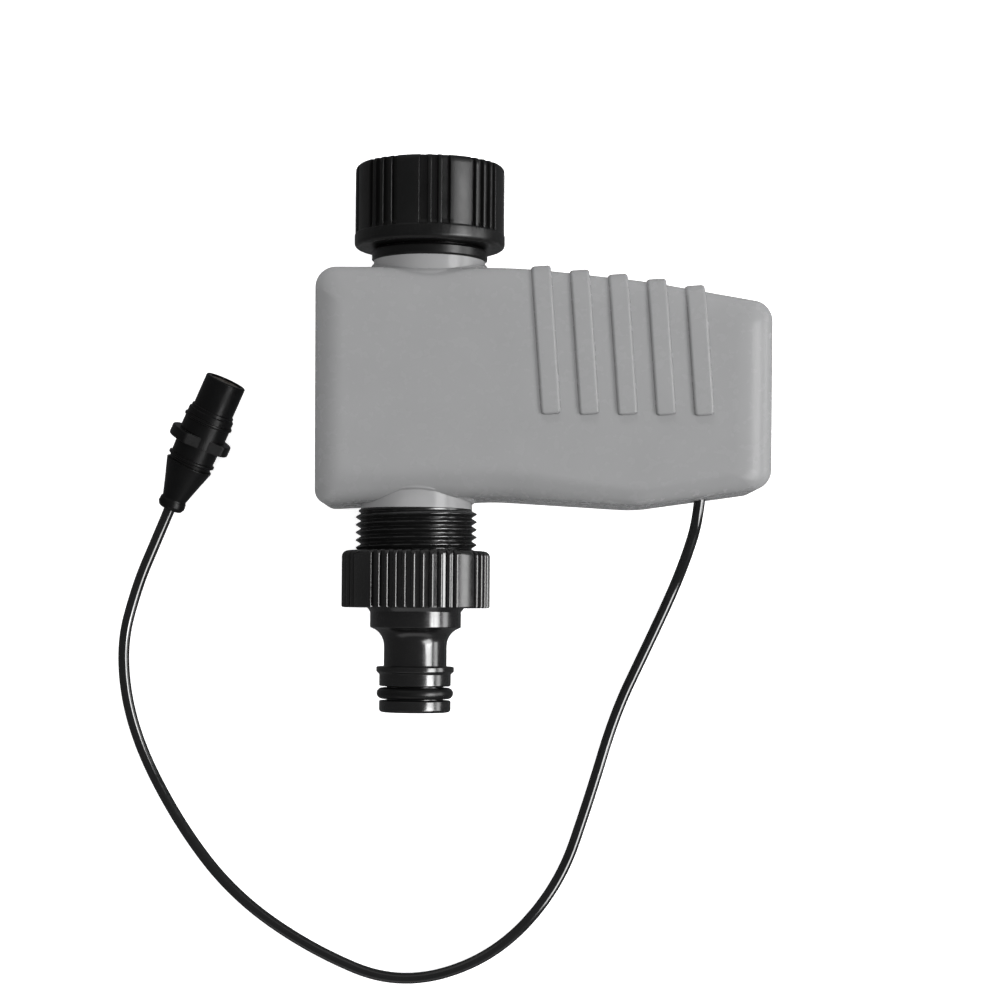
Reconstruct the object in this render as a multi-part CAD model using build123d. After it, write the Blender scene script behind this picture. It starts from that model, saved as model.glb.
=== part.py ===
from build123d import *
import math
import os

# Motor-driven ball valve for a garden tap: swivel nut on top, hose connector below,
# gearbox and motor to the right, and a lead with a small plug. It lies on its back.
# +X runs along the valve stem to the motor, +Y to the inlet, +Z out of the front face.
# All lengths in millimetres.

# Housing
housing_depth = 32.5
front_rounding = 4.2
back_rounding = 3.0
wall = 2.2
inner_rounding = 2.0
corner = 4.4
# Outline seen from the front: corner point and the radius it is rounded with
housing_outline = [
    (-22.9, 25.7, corner),
    (22.0, 25.7, 120.0),
    (48.0, 23.0, 150.0),
    (75.2, 18.2, corner),
    (75.2, -21.2, corner),
    (47.0, -25.3, 35.0),
    (16.0, -23.6, 60.0),
    (-22.9, -25.6, corner),
]
rib_count = 5
rib_first_x = 27.75
rib_pitch = 8.15
rib_width = 4.2
rib_low_y = -6.3
rib_slant = 4.4
rib_proud = 0.9
boss_places = [(-17.8, 20.2), (-17.8, -20.2), (15.2, 19.6), (16.0, -18.6), (69.9, 12.0), (69.9, -13.4)]
boss_radius = 2.4
screw_hole_radius = 1.2
screw_radius = 1.1
screw_head_radius = 1.8
screw_recess_radius = 1.9
screw_recess_depth = 8.0
seal_inset = 0.7
seal_width = 0.8
seal_half_height = 0.4

# Pipe: the two necks stand a little to either side of the ball's centre
pipe_z = 18.5
inlet_x = 1.2
outlet_x = -1.2
neck_radius = 12.15
neck_hole_radius = 12.3
collar_radius = 12.6
body_radius = 11.4
neck_start = 22.1
neck_seal_radius = 12.1
neck_seal_height = 1.1
inlet_neck_end = 27.9
outlet_neck_end = 26.1
chamber_radius = 9.0
chamber_half = 9.4
tail_radius = 9.5
tail_hole_radius = 9.6
water_radius = 6.2

# Ball and stem
ball_radius = 8.6
ball_bore_radius = 5.2
seat_gap = 0.05
stem_radius = 3.0
stem_hole_radius = 3.1
stem_square = 4.2
tongue_start = 6.4
tongue_width = 2.2
tongue_length = 6.0

# Swivel nut with a 3/4 inch pipe thread
thread_major_radius = 13.22
thread_minor_radius = 12.06
nut_radius = 16.25
nut_flange_radius = 16.4
nut_low = 30.7
nut_flange_top = 33.7
nut_high = 48.5
nut_seat = 33.2
nut_thread_low = 37.5
nut_recess_radius = 12.4
nut_lip_radius = 11.0
nut_lip_edge = 15.4
# Smooth panels on the nut, by angle about the pipe from the front, with ribs in the gaps
nut_panel_angles = [-61.0, -15.4, 26.0, 70.7, 116.0, 161.0, 206.0, 252.0]
nut_panel_half_angle = 9.4
nut_rib_half_angle = 1.9
nut_rib_pitch = 8.0
nut_wide_gap = 43.0
spigot_neck_radius = 10.9

# Outlet thread and hose connector
thread_low = -45.6
adapter_top = -35.2
adapter_low = -47.6
adapter_radius = 16.2
adapter_bore_radius = 13.4
adapter_rib_count = 50
adapter_rib_half_angle = 1.9
adapter_panel_angles = (45, 135, 225, 315)
adapter_panel_half_angle = 9.0
nipple_tip = -70.4
nipple_radius = 7.82
latch_radius = 8.48
nipple_bore_radius = 5.2

# Gear train: centres are (y, z), all gears turn about X
tooth_backlash = 0.16
wheel_addendum = 0.6
pinion_addendum = 1.0
dedendum = 1.2
pressure_angle = math.radians(20.0)
module_out, output_teeth, second_pinion_teeth = 0.7, 26, 10
module_mid, second_wheel_teeth, first_pinion_teeth = 0.6, 30, 12
module_in, first_wheel_teeth, drive_teeth = 0.5, 32, 10
second_angle = math.radians(-10.2)
motor_angle = math.radians(208.4)
plate_inner_x = 18.6
plate_outer_x = 37.2
plate_thickness = 1.6
pillar_places = [(-13.0, 5.5), (-13.0, 27.2), (19.3, 5.0), (19.3, 27.0)]
pillar_behind_motor = 0
pillar_radius = 1.8
axle_radius = 1.0
axle_hole_radius = 1.05
hub_radius = 1.8
plate_screw_radius = 0.8
plate_screw_head_radius = 1.5

# Motor
motor_radius = 10.0
motor_half_thickness = 7.55
gearhead_end = 46.0
gearhead_spigot_radius = 3.0
motor_screw_radius = 0.9
motor_screw_head_radius = 1.6
motor_screw_circle = 7.6
motor_end = 63.5
cap_end = 65.3
terminal_offset = 7.0

# Circuit board
board_box = ((41.0, 3.0, 6.0), (65.6, 4.6, 27.0))

# Lead: route from the housing to the plug, resting on the surface that the part lies on
cable_radius = 1.25
cable_route = [
    (61.4, -21.8, 11.0),
    (61.0, -27.6, 10.0),
    (59.2, -34.8, 5.6),
    (56.0, -43.8, 1.9),
    (50.2, -56.5, 1.3),
    (43.4, -71.0, 1.3),
    (37.9, -90.0, 1.3),
    (31.0, -110.6, 1.3),
    (16.0, -126.8, 1.3),
    (-5.0, -133.0, 1.3),
    (-25.0, -124.8, 1.3),
    (-42.6, -112.6, 1.3),
    (-55.4, -96.0, 1.3),
    (-65.6, -76.0, 1.3),
    (-68.5, -57.5, 1.3),
    (-64.8, -43.0, 1.3),
    (-60.3, -32.4, 1.8),
    (-57.3, -25.6, 3.1),
]
grommet_radius = 2.3
grommet_flange_radius = 3.2
grommet_top = -18.4
wire_radius = 0.4
wire_bend = 0.9

# Plug: distances along its axis from the cable end, and radii
plug_heading = 24.9
plug_lift = 10.0
plug_roll = 21.0
plug_length = 31.6
boot_end = 11.0
ear_low, ear_high = 15.9, 18.3
ear_radius = 6.95
ear_half_thickness = 4.9
nose_start = 24.4
nose_radius = 4.36
contact_circle = 1.9
contact_count = 3

os.makedirs("parts", exist_ok=True)


def save(shape, name):
    """Write one sub-part to its own STEP file."""
    shape.label = name
    export_step(shape, f"parts/{name}.step")


def group(shapes):
    """Several separate solids as one sub-part."""
    solids = [solid for shape in shapes for solid in shape.solids()]
    return Compound(children=solids)


def along_y(radius, low, high, x=0.0, z=pipe_z):
    plane = Plane(origin=(x, low, z), x_dir=(1, 0, 0), z_dir=(0, 1, 0))
    return extrude(plane * Circle(radius), amount=high - low)


def along_x(radius, low, high, y=0.0, z=pipe_z):
    plane = Plane(origin=(low, y, z), x_dir=(0, 1, 0), z_dir=(1, 0, 0))
    return extrude(plane * Circle(radius), amount=high - low)


def along_z(radius, low, high, x, y):
    return extrude(Plane(origin=(x, y, low)) * Circle(radius), amount=high - low)


def block(low, high):
    size = [b - a for a, b in zip(low, high)]
    centre = [(a + b) / 2 for a, b in zip(low, high)]
    return Pos(*centre) * Box(*size)


def turned(points, x):
    """Turned solid about the pipe axis at this x, from (radius, y) points."""
    outline = Polyline(*[(x + radius, y, pipe_z) for radius, y in points], close=True)
    return revolve(make_face(outline), Axis((x, 0, pipe_z), (0, 1, 0)))


# ---------------------------------------------------------------- housing

def outline_face(grow=0.0):
    """The housing's outline at z = 0, grown or shrunk all round."""
    points = [(x, y) for x, y, _ in housing_outline]
    radii = [radius for _, _, radius in housing_outline]
    face = make_face(FilletPolyline(*points, radius=radii, close=True))
    return offset(face, amount=grow) if grow else face


def rounded_slab(grow, low, high, rounding_low, rounding_high):
    slab = extrude(Pos(0, 0, low) * outline_face(grow), amount=high - low)
    slab = fillet(slab.faces().sort_by(Axis.Z)[-1].edges(), rounding_high)
    return fillet(slab.faces().sort_by(Axis.Z)[0].edges(), rounding_low)


def grip_ribs():
    """Slanted bars that wrap from the front face over the top edge."""
    skin = rounded_slab(rib_proud, 0, housing_depth + rib_proud, back_rounding, front_rounding + rib_proud)
    bars = []
    for index in range(rib_count):
        start = Pos(rib_first_x + rib_pitch * index, rib_low_y, pipe_z + 0.5)
        bar = Box(rib_width, 50, 30, align=(Align.CENTER, Align.MIN, Align.MIN))
        bar = fillet(bar.edges().filter_by(Axis.Z), 0.6)
        bars.append(start * Rot(0, 0, rib_slant) * bar)
    return skin & (Part() + bars)


def neck_holes():
    return (along_y(neck_hole_radius, 20, 40, inlet_x)
            + along_y(neck_hole_radius, -40, -20, outlet_x))


def seal_ring(slack):
    """Ring in the parting plane; the groove has no slack, the seal a little."""
    ring = outline_face(-seal_inset - slack) - outline_face(-seal_inset - seal_width + slack)
    half = seal_half_height - slack
    return extrude(Pos(0, 0, pipe_z - half) * ring, amount=2 * half) - neck_holes()


def housing_parts():
    outer = rounded_slab(0.0, 0, housing_depth, back_rounding, front_rounding)
    inner = rounded_slab(-wall, wall, housing_depth - wall, inner_rounding, inner_rounding)
    above = block((-60, -60, pipe_z), (120, 60, 60))
    below = block((-60, -60, -10), (120, 60, pipe_z))
    front = ((outer + grip_ribs()) - inner) & above
    back = (outer - inner) & below
    screws = []
    for x, y in boss_places:
        front += along_z(boss_radius, pipe_z, housing_depth - wall + 0.3, x, y)
        front -= along_z(screw_radius, pipe_z, 27, x, y)
        back += along_z(boss_radius, wall - 0.3, pipe_z, x, y)
        back -= along_z(screw_hole_radius, -1, pipe_z, x, y)
        back -= along_z(screw_recess_radius, -1, screw_recess_depth, x, y)
        head = along_z(screw_head_radius, screw_recess_depth - 1.8, screw_recess_depth, x, y)
        slot = block((x - 2, y - 0.25, 6), (x + 2, y + 0.25, 6.8))
        cross = block((x - 0.25, y - 2, 6), (x + 0.25, y + 2, 6.8))
        screws.append(head - slot - cross + along_z(screw_radius, screw_recess_depth, 26.5, x, y))
    front -= neck_holes() + seal_ring(0)
    exit_x, _, exit_z = cable_route[0]
    back -= neck_holes() + seal_ring(0) + along_y(grommet_radius, -30, -15, exit_x, exit_z)
    save(front, "housing_front")
    save(back, "housing_back")
    save(group([seal_ring(0.02)]), "housing_seal")
    save(group(screws), "housing_screws")


# ---------------------------------------------------------------- valve

def valve_parts():
    body = along_y(chamber_radius + 2.4, -12, 12)
    body += along_y(body_radius, 10, neck_start, inlet_x)
    body += along_y(neck_radius, neck_start, inlet_neck_end, inlet_x)
    body += along_y(body_radius, -neck_start, -10, outlet_x)
    body += along_y(neck_radius, -outlet_neck_end, -neck_start, outlet_x)
    body += along_x(6.4, 8, 17.5)
    body -= along_y(chamber_radius, -chamber_half, chamber_half)
    body -= along_y(tail_hole_radius, chamber_half, 40, inlet_x)
    body -= along_y(tail_hole_radius, -40, -chamber_half, outlet_x)
    body -= along_x(stem_hole_radius, 0, 20) + along_x(4.6, 14, 20)
    save(body, "valve_body")
    rings = []
    for side, x in ((1, inlet_x), (-1, outlet_x)):
        low, high = sorted((side * (neck_start - neck_seal_height), side * neck_start))
        rings.append(along_y(neck_seal_radius, low, high, x) - along_y(body_radius + 0.05, low, high, x))
    save(group(rings), "neck_seals")

    ball = Pos(0, 0, pipe_z) * Sphere(ball_radius)
    ball -= along_z(ball_bore_radius, 0, 40, 0, 0)
    ball -= block((tongue_start, -4, pipe_z - tongue_width / 2), (12, 4, pipe_z + tongue_width / 2))
    save(ball, "ball")
    for name, side in (("inlet_seat", 1), ("outlet_seat", -1)):
        low, high = sorted((side * 5.4, side * (chamber_half - 0.05)))
        seat = along_y(chamber_radius - 0.05, low, high) - along_y(5.6, low, high)
        save(seat - Pos(0, 0, pipe_z) * Sphere(ball_radius + seat_gap), name)


def stem_parts():
    length = tongue_length / 2
    stem = block((tongue_start + 0.1, -length, pipe_z - tongue_width / 2 + 0.05),
                 (9.3, length, pipe_z + tongue_width / 2 - 0.05))
    stem &= along_x(stem_radius, 0, 12)
    stem += along_x(stem_radius, 9.2, 20.4)
    half = stem_square / 2
    stem += block((20.4, -half, pipe_z - half), (28.0, half, pipe_z + half))
    stem -= along_x(axle_hole_radius, 25.0, 29.0)
    rings = []
    for x in (11.0, 12.8):
        stem -= along_x(4, x - 0.55, x + 0.55) - along_x(2.3, x - 0.55, x + 0.55)
        rings.append(Pos(x, 0, pipe_z) * Rot(0, 90, 0) * Torus(2.7, 0.36))
    save(stem, "stem")
    save(group(rings), "stem_orings")
    bush = along_x(4.55, 14.0, 17.5) + along_x(5.8, 17.5, 18.3)
    save(bush - along_x(stem_radius + 0.05, 13, 19), "gland_bush")


# ---------------------------------------------------------------- inlet

def nut_bars():
    """(centre, half width) in degrees of each panel and of the two or three ribs after it."""
    bars = []
    for index, centre in enumerate(nut_panel_angles):
        following = nut_panel_angles[(index + 1) % len(nut_panel_angles)]
        gap = (following - centre) % 360
        ribs = 3 if gap > nut_wide_gap else 2
        bars.append((centre, nut_panel_half_angle))
        for rib in range(ribs):
            bars.append((centre + gap / 2 + (rib - (ribs - 1) / 2) * nut_rib_pitch, nut_rib_half_angle))
    return bars


def inlet_parts():
    spigot = turned([
        (water_radius, chamber_half + 0.05), (tail_radius, chamber_half + 0.05),
        (tail_radius, inlet_neck_end), (neck_radius, inlet_neck_end),
        (collar_radius, inlet_neck_end + 0.4), (collar_radius, 29.9), (collar_radius - 0.5, 30.4),
        (spigot_neck_radius, 30.4), (spigot_neck_radius, 33.4),
        (11.8, 33.4), (11.8, 35.4), (7.2, 35.4), (7.2, 22.0), (water_radius, 20.5),
    ], inlet_x)
    save(spigot, "inlet_spigot")

    nut = along_y(nut_radius - 0.7, nut_flange_top - 0.2, nut_high, inlet_x)
    nut += turned([(nut_lip_radius, nut_low), (nut_lip_edge, nut_low), (nut_flange_radius, nut_low + 1.0),
                   (nut_flange_radius, nut_flange_top), (nut_lip_radius, nut_flange_top)], inlet_x)
    nut += [sector(nut_radius, centre - half, centre + half, nut_flange_top, nut_high, inlet_x)
            for centre, half in nut_bars()]
    nut -= along_y(nut_lip_radius, 20, 60, inlet_x) + along_y(thread_minor_radius, nut_seat, 60, inlet_x)
    nut -= along_y(nut_recess_radius, nut_seat, nut_thread_low, inlet_x)
    save(nut, "inlet_nut")

    washer = along_y(11.9, 35.45, 37.45, inlet_x) - along_y(8.3, 35, 38, inlet_x)
    save(washer, "inlet_washer")
    basket = turned([(8.2, 35.45), (8.2, 36.4), (6.2, 36.4), (5.2, 27.6), (0, 26.6), (0, 25.8),
                     (5.8, 26.9), (6.9, 35.45)], inlet_x)
    slots = []
    for index in range(10):
        slot = block((3, 28.2, -0.6), (9, 34.4, 0.6))
        slots.append(Pos(inlet_x, 0, pipe_z) * Rot(0, 36 * index, 0) * slot)
    save(basket - slots, "inlet_filter")


def sector(radius, start, stop, low, high, x):
    """A bar on a round nut: a pie slice from well inside out to the radius."""
    angles = [start + (stop - start) * step / 6 for step in range(7)]
    outer = [(radius * math.sin(math.radians(a)), radius * math.cos(math.radians(a))) for a in angles]
    inner_radius = radius - 1.6
    inner = [(inner_radius * math.sin(math.radians(a)), inner_radius * math.cos(math.radians(a)))
             for a in (stop, start)]
    plane = Plane(origin=(x, low, pipe_z), x_dir=(1, 0, 0), z_dir=(0, 1, 0))
    return extrude(plane * make_face(Polyline(*[(u, -w) for u, w in outer + inner], close=True)),
                   amount=high - low)


# ---------------------------------------------------------------- outlet

def adapter_bars():
    """(centre, half width) in degrees of the smooth panels and of the ribs between them."""
    bars = [(panel, adapter_panel_half_angle) for panel in adapter_panel_angles]
    for index in range(adapter_rib_count):
        angle = 360 * index / adapter_rib_count
        nearest = min(abs((angle - panel + 180) % 360 - 180) for panel in adapter_panel_angles)
        if nearest >= adapter_panel_half_angle:
            bars.append((angle, adapter_rib_half_angle))
    return bars


def outlet_parts():
    thread = turned([
        (water_radius, -chamber_half - 0.05), (tail_radius, -chamber_half - 0.05),
        (tail_radius, -outlet_neck_end), (13.0, -outlet_neck_end),
        (thread_major_radius, -outlet_neck_end - 0.3), (thread_major_radius, thread_low + 1),
        (thread_minor_radius, thread_low), (9.0, thread_low), (9.0, -30.0), (water_radius, -27.0),
    ], outlet_x)
    save(thread, "outlet_thread")
    washer = along_y(13.0, thread_low - 1.8, thread_low - 0.05, outlet_x) - along_y(9.0, -50, -40, outlet_x)
    save(washer, "adapter_washer")

    floor = thread_low - 1.85
    adapter = turned([
        (adapter_bore_radius, adapter_top), (15.4, adapter_top),
        (15.55, adapter_top - 0.5), (15.55, adapter_low),
        (10.3, adapter_low), (10.0, -48.6), (9.93, -48.8), (9.93, -51.8), (8.4, -52.6), (7.4, -53.8),
        (6.95, -55.0), (6.86, -55.9), (6.86, -60.4), (latch_radius, -60.4), (latch_radius, -61.5),
        (nipple_radius, -62.2), (nipple_radius, -64.7), (6.2, -64.7), (6.2, -67.8), (nipple_radius, -67.8),
        (nipple_radius, nipple_tip + 0.4), (nipple_radius - 0.4, nipple_tip),
        (nipple_bore_radius, nipple_tip),
        (nipple_bore_radius, floor), (adapter_bore_radius, floor),
    ], outlet_x)
    ribs = [sector(adapter_radius, centre - half, centre + half, adapter_low, adapter_top - 0.5, outlet_x)
            for centre, half in adapter_bars()]
    save(adapter + ribs, "hose_adapter")
    ring = Pos(outlet_x, -66.25, pipe_z) * Rot(90, 0, 0) * Torus(7.15, 1.22)
    groove_floor = along_y(6.2, -70, -60, outlet_x)
    save(ring - groove_floor, "nipple_oring")


# ---------------------------------------------------------------- gears

def involute(angle):
    return math.tan(angle) - angle


def gear_points(module, teeth, addendum, phase):
    """Outline of a spur gear with one tooth centred on the phase angle."""
    pitch_radius = module * teeth / 2
    base_radius = pitch_radius * math.cos(pressure_angle)
    tip_radius = pitch_radius + addendum * module
    root_radius = pitch_radius - dedendum * module
    half_tooth = math.pi / (2 * teeth) + involute(pressure_angle)
    half_tooth -= tooth_backlash * module / (2 * pitch_radius)
    start = max(base_radius, root_radius)
    flank = []
    if root_radius < base_radius:
        flank.append((root_radius, half_tooth))
    for step in range(5):
        radius = start + (tip_radius - start) * step / 4
        flank.append((radius, half_tooth - involute(math.acos(min(1, base_radius / radius)))))
    points = []
    for tooth in range(teeth):
        centre = phase + 2 * math.pi * tooth / teeth
        points += [(r, centre - half) for r, half in flank]
        points += [(r, centre + half) for r, half in reversed(flank)]
    return [(r * math.cos(a), r * math.sin(a)) for r, a in points]


def gear(module, teeth, addendum, phase, centre, low, high):
    plane = Plane(origin=(low, centre[0], centre[1]), x_dir=(0, 1, 0), z_dir=(1, 0, 0))
    face = make_face(Polyline(*gear_points(module, teeth, addendum, phase), close=True))
    return extrude(plane * face, amount=high - low)


def meshing_phase(phase, teeth, direction, other_teeth):
    """Phase of the gear that lies in this direction from a gear with the given phase."""
    return direction + math.pi + math.pi / other_teeth - (phase - direction) * teeth / other_teeth


def polar(centre, distance, angle):
    return (centre[0] + distance * math.cos(angle), centre[1] + distance * math.sin(angle))


# Gear centres as (y, z)
main_centre = (0.0, pipe_z)
second_centre = polar(main_centre, module_out * (output_teeth + second_pinion_teeth) / 2, second_angle)
drive_centre = polar(main_centre, module_in * (first_wheel_teeth + drive_teeth) / 2, motor_angle)


def gear_parts():
    output = gear(module_out, output_teeth, wheel_addendum, 0.0, main_centre, 22.8, 27.8)
    half = stem_square / 2
    hub_square = block((20, -half, pipe_z - half), (30, half, pipe_z + half))
    save(output - hub_square, "output_gear")
    cam = along_x(8.0, 20.8, 22.4)
    lobe = along_x(9.3, 20.8, 22.4) & block((20, -12, pipe_z - 3), (23, 0, pipe_z + 12))
    save(cam + lobe - hub_square, "position_cam")

    phase = meshing_phase(0.0, output_teeth, second_angle, second_pinion_teeth)
    second = gear(module_out, second_pinion_teeth, pinion_addendum, phase, second_centre, 22.6, 29.4)
    back = second_angle + math.pi
    second += gear(module_mid, second_wheel_teeth, wheel_addendum, back, second_centre, 29.4, 31.6)
    second += along_x(hub_radius, 20.4, 22.6, *second_centre)
    second += along_x(hub_radius, 31.6, 37.0, *second_centre)
    save(second - along_x(axle_hole_radius, 10, 50, *second_centre), "second_idler")

    phase = meshing_phase(back, second_wheel_teeth, back, first_pinion_teeth)
    first = gear(module_mid, first_pinion_teeth, pinion_addendum, phase, main_centre, 28.8, 33.4)
    first += gear(module_in, first_wheel_teeth, wheel_addendum, motor_angle, main_centre, 33.4, 35.4)
    first += along_x(hub_radius, 35.4, 37.0)
    save(first - along_x(axle_hole_radius, 10, 50), "first_idler")

    phase = meshing_phase(motor_angle, first_wheel_teeth, motor_angle, drive_teeth)
    drive = gear(module_in, drive_teeth, pinion_addendum, phase, drive_centre, 33.0, 36.2)
    save(drive - along_x(axle_radius, 10, 50, *drive_centre), "drive_pinion")
    save(along_x(axle_radius, 32.8, 45.0, *drive_centre), "gearhead_shaft")
    far = plate_outer_x + plate_thickness
    save(along_x(axle_radius, plate_inner_x, far, *second_centre), "second_idler_axle")
    save(along_x(axle_radius, 25.5, far), "first_idler_axle")


def gearbox_plate(low):
    plane = Plane(origin=(low, 2.9, 16.1), x_dir=(0, 1, 0), z_dir=(1, 0, 0))
    plate = extrude(plane * RectangleRounded(36.6, 25.4, 3), amount=plate_thickness)
    plate -= along_x(axle_radius, low - 1, low + 3, *second_centre)
    for centre in pillar_places:
        plate -= along_x(plate_screw_radius, low - 1, low + 3, *centre)
    return plate


def gearbox_parts():
    inner = gearbox_plate(plate_inner_x) - along_x(stem_hole_radius, 10, 30)
    save(inner, "gearbox_plate_inner")
    motor_screw_places = [polar(drive_centre, motor_screw_circle, math.radians(side)) for side in (90, 270)]
    outer = gearbox_plate(plate_outer_x) - along_x(axle_radius, 30, 40)
    outer -= along_x(gearhead_spigot_radius + 0.05, 30, 40, *drive_centre)
    for centre in motor_screw_places:
        outer -= along_x(motor_screw_radius, 30, 40, *centre)
    save(outer, "gearbox_plate_outer")

    far = plate_outer_x + plate_thickness
    pillars, screws = [], []
    for index, centre in enumerate(pillar_places):
        pillar = along_x(pillar_radius, plate_inner_x + plate_thickness, plate_outer_x, *centre)
        pillars.append(pillar - along_x(plate_screw_radius, 10, 26, *centre)
                       - along_x(plate_screw_radius, 32, 50, *centre))
        screws.append(along_x(plate_screw_head_radius, plate_inner_x - 0.8, plate_inner_x, *centre)
                      + along_x(plate_screw_radius, plate_inner_x, 25.5, *centre))
        if index != pillar_behind_motor:
            screws.append(along_x(plate_screw_head_radius, far, far + 0.8, *centre)
                          + along_x(plate_screw_radius, 32.5, far, *centre))
    save(group(pillars), "gearbox_pillars")
    save(group(screws), "gearbox_screws")

    case = motor_section(far, gearhead_end)
    case += along_x(gearhead_spigot_radius, plate_outer_x, far, *drive_centre)
    case -= along_x(axle_hole_radius, 30, 45.2, *drive_centre)
    motor_screws = []
    for centre in motor_screw_places:
        case -= along_x(motor_screw_radius, 30, 42.5, *centre)
        motor_screws.append(along_x(motor_screw_head_radius, plate_outer_x - 0.9, plate_outer_x, *centre)
                            + along_x(motor_screw_radius, plate_outer_x, 42.0, *centre))
    save(case, "gearhead_case")
    save(group(motor_screws), "motor_screws")

    switches = []
    for low_z, button_z in ((10.4, 14.0), (17.9, 22.0)):
        switch = block((20.5, -16.2, low_z), (25.0, -10.6, low_z + 7.1))
        switch += along_y(0.5, -10.6, -9.9, 21.6, button_z)
        switches.append(switch)
    save(group(switches), "limit_switches")


def motor_section(low, high):
    y, z = drive_centre
    can = along_x(motor_radius, low, high, y, z)
    return can & block((low, y - motor_half_thickness, z - 12), (high, y + motor_half_thickness, z + 12))


def motor_parts():
    save(motor_section(gearhead_end, motor_end), "motor_can")
    y, z = drive_centre
    cap = motor_section(motor_end, cap_end) + along_x(2.0, cap_end, cap_end + 0.8, y, z)
    save(cap, "motor_end_cap")
    terminals = []
    for side in (-1, 1):
        place = z + side * terminal_offset
        terminals.append(block((cap_end, y - 1.2, place - 0.3), (67.2, y + 1.2, place + 0.3)))
    save(group(terminals), "motor_terminals")


def wire(points):
    path = FilletPolyline(*points, radius=wire_bend)
    return sweep(Plane(origin=path @ 0, z_dir=path % 0) * Circle(wire_radius), path=path)


def electric_parts():
    (x0, y0, z0), (x1, y1, z1) = board_box
    save(block(*board_box), "circuit_board")
    pieces = [
        block((46, y1, 10), (54, y1 + 1.6, 16)),
        block((57, y1, 9), (61, y1 + 2.2, 13)),
        block((44, y1, 19), (49, y1 + 1.2, 24)),
        block((60.5, y1, 20.5), (64.5, y1 + 5, 25.5)),
        along_y(2.5, y1, y1 + 7, 56, 21),
    ]
    save(group(pieces), "board_components")

    exit_x, exit_y, exit_z = cable_route[0]
    grommet = along_y(grommet_radius - 0.02, exit_y + 0.3, grommet_top, exit_x, exit_z)
    grommet += along_y(grommet_flange_radius, grommet_top - 1.0, grommet_top, exit_x, exit_z)
    save(grommet, "cable_grommet")
    runs = []
    for index in range(3):
        z = exit_z - 2.6 + 1.2 * index
        x = exit_x - 1.0 + index
        runs.append(wire([(x, grommet_top, z), (x, grommet_top + 1.0, z), (66.5, grommet_top + 1.0, z),
                          (66.5, y1 + 1.8, z), (64.3, y1 + 1.8, z), (64.3, y1, z)]))
    y, z = drive_centre
    for side in (-1, 1):
        outer_z = z + side * terminal_offset
        inner_z = z + side * (terminal_offset - 2)
        runs.append(wire([(67.2, y, outer_z), (68.6, y, outer_z), (68.6, y1 + 2.0, inner_z),
                          (63.0, y1 + 2.0, inner_z), (63.0, y1, inner_z)]))
    save(group(runs), "inner_wires")


# ---------------------------------------------------------------- lead and plug

def cable_radii():
    points = [Vector(*point) for point in cable_route]
    radii = []
    for before, here, after in zip(points, points[1:], points[2:]):
        turn = math.radians((here - before).get_angle(after - here))
        shorter = min((here - before).length, (after - here).length)
        radii.append(0.45 * shorter / math.tan(turn / 2))
    return radii


def cable_part():
    radii = cable_radii()
    print("cable arc radii", [round(radius) for radius in radii])
    path = FilletPolyline(*cable_route, radius=radii)
    tube = sweep(Plane(origin=path @ 0, z_dir=path % 0) * Circle(cable_radius), path=path)
    print("cable length", round(path.length, 1), "volume over section",
          round(tube.volume / (math.pi * cable_radius ** 2), 1))
    save(tube, "cable")


def plug_place():
    heading = math.radians(plug_heading)
    lift = math.radians(plug_lift)
    axis = (math.cos(lift) * math.sin(heading), math.cos(lift) * math.cos(heading), math.sin(lift))
    side = (math.cos(heading), -math.sin(heading), 0)
    return Plane(origin=cable_route[-1], x_dir=side, z_dir=axis)


def plug_turned(points):
    """Turned solid on the plug's axis, from (radius, distance along it) points."""
    outline = Polyline(*[(radius, 0, distance) for radius, distance in points], close=True)
    return revolve(make_face(outline), Axis.Z)


def plug_parts():
    place = plug_place().location
    boot = plug_turned([(0, 0), (2.4, 0), (2.9, 0.8), (2.9, 1.8), (2.6, 2.4),
                        (5.2, boot_end), (0, boot_end)])
    save(place * boot, "plug_boot")
    body = plug_turned([
        (0, boot_end), (4.6, boot_end), (4.6, 11.8), (5.0, 12.0), (5.0, 12.6), (4.6, 12.8), (4.6, ear_low),
        (ear_radius, ear_low), (ear_radius, ear_high), (5.0, ear_high), (5.0, 23.6), (4.6, 23.6),
        (4.6, nose_start), (nose_radius, nose_start), (nose_radius, plug_length - 0.3),
        (nose_radius - 0.3, plug_length), (3.5, plug_length), (3.5, plug_length - 3), (0, plug_length - 3),
    ])
    keep = Rot(0, 0, plug_roll) * (Box(20, 2 * ear_half_thickness + 0.2, 80) + Cylinder(5.1, 80))
    save(place * (body & keep), "plug_body")
    seal = plug_turned([(5.0, 21.2), (5.35, 21.4), (5.35, 22.0), (5.0, 22.2)])
    save(place * seal, "plug_seal")
    insert = Pos(0, 0, plug_length - 3) * Cylinder(3.5, 2.6, align=(Align.CENTER, Align.CENTER, Align.MIN))
    contacts = []
    for index in range(contact_count):
        turn = math.radians(90 + 120 * index)
        spot = (contact_circle * math.cos(turn), contact_circle * math.sin(turn), plug_length - 3)
        insert -= Pos(*spot) * Cylinder(0.8, 2.6, align=(Align.CENTER, Align.CENTER, Align.MIN))
        sleeve = Cylinder(0.8, 2.0, align=(Align.CENTER, Align.CENTER, Align.MIN))
        sleeve -= Cylinder(0.5, 2.0, align=(Align.CENTER, Align.CENTER, Align.MIN))
        contacts.append(place * Pos(*spot) * sleeve)
    save(place * insert, "plug_insert")
    save(group(contacts), "plug_contacts")


housing_parts()
valve_parts()
stem_parts()
inlet_parts()
outlet_parts()
gear_parts()
gearbox_parts()
motor_parts()
electric_parts()
cable_part()
plug_parts()
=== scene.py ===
import math

import bmesh
import bpy
from mathutils import Matrix, Vector


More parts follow.
